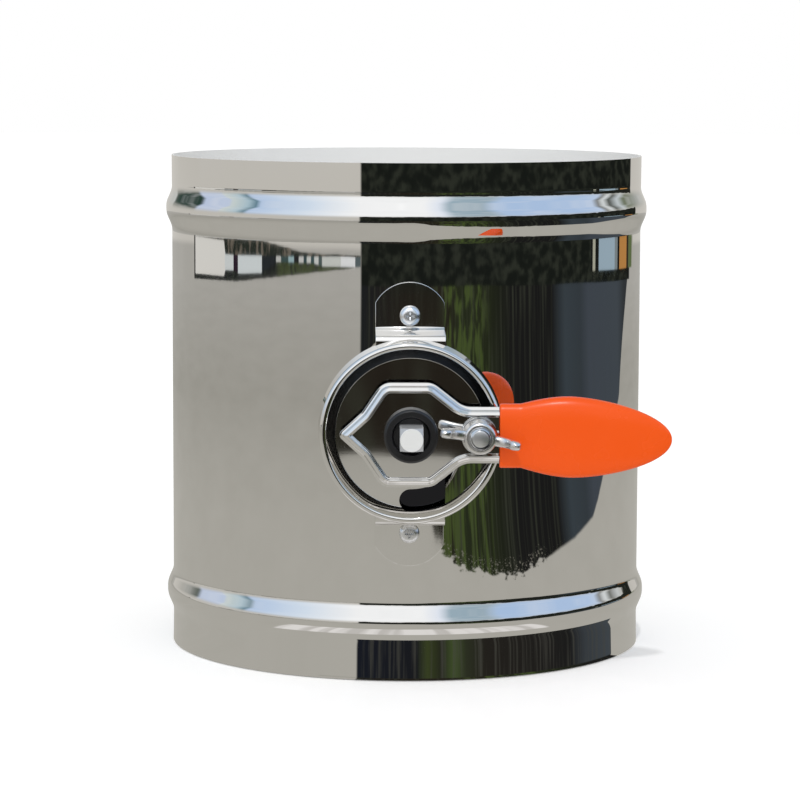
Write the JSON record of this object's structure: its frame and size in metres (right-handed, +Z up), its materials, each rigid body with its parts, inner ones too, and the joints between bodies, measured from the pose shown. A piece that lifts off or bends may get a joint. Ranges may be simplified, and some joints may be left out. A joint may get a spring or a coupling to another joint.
{
  "type": "volume control damper",
  "caption": "Round duct damper: beaded steel barrel with a butterfly blade, dished dial, pressed lever with a moulded grip, and a wing-nut lock.",
  "frame": {"origin": "centre of the lower rim, on the duct's axis", "axes": "+Z up the duct; -Y towards the lever, along the blade's shaft; +X is where the handle points with the blade closed"},
  "size_m": [0.205, 0.261, 0.208],
  "materials": {
    "polished_steel": "mirror-polished stainless sheet, fine wipe scratches",
    "sheet_steel": "mill-finish stainless sheet",
    "shaft_steel": "bright drawn square bar, faced end",
    "zinc_steel": "bright zinc plating",
    "spring_steel": "dark plated spring steel",
    "cast_zinc": "plated casting, slightly pebbled",
    "black_nylon": "satin moulded nylon",
    "orange_vinyl": "glossy moulded vinyl sleeve"
  },
  "bodies": {
    "root": {"barrel": "polished_steel", "bracket": "polished_steel", "bracket_screws": "zinc_steel", "dial": "polished_steel", "hub_sleeve": "zinc_steel"},
    "rotor": {"dial_bush": "black_nylon", "shaft": "shaft_steel", "near_bush": "black_nylon", "far_bush": "black_nylon", "far_washer": "zinc_steel", "shaft_clip": "spring_steel", "blade": "sheet_steel", "blade_saddle_near": "sheet_steel", "blade_saddle_far": "sheet_steel", "blade_bolts": "zinc_steel", "blade_nuts": "zinc_steel", "lever": "polished_steel", "grip": "orange_vinyl", "hub_collar": "black_nylon", "clamp_bolt": "zinc_steel", "clamp_washer": "zinc_steel"},
    "nut_travel": {"spring_washer": "spring_steel"},
    "wing_nut": {"wing_nut": "cast_zinc"}
  },
  "joints": [
    {"name": "lever_turn", "type": "hinge", "parent": "root", "child": "rotor", "pos_m": [0, 0, 0.104], "axis": [0, 1, 0], "range_deg": [0, 90]},
    {"name": "wing_nut_travel", "type": "slide", "parent": "rotor", "child": "nut_travel", "axis": [0, -1, 0], "range_m": [0, 0.0025]},
    {"name": "wing_nut_turn", "type": "hinge", "parent": "nut_travel", "child": "wing_nut", "pos_m": [0.0265, -0.139, 0.104], "axis": [0, -1, 0], "range_deg": [0, 720]}
  ],
  "couplings": [
    {"joint": "wing_nut_travel", "follows": "wing_nut_turn", "m_per_rad": 0.00019894}
  ]
}
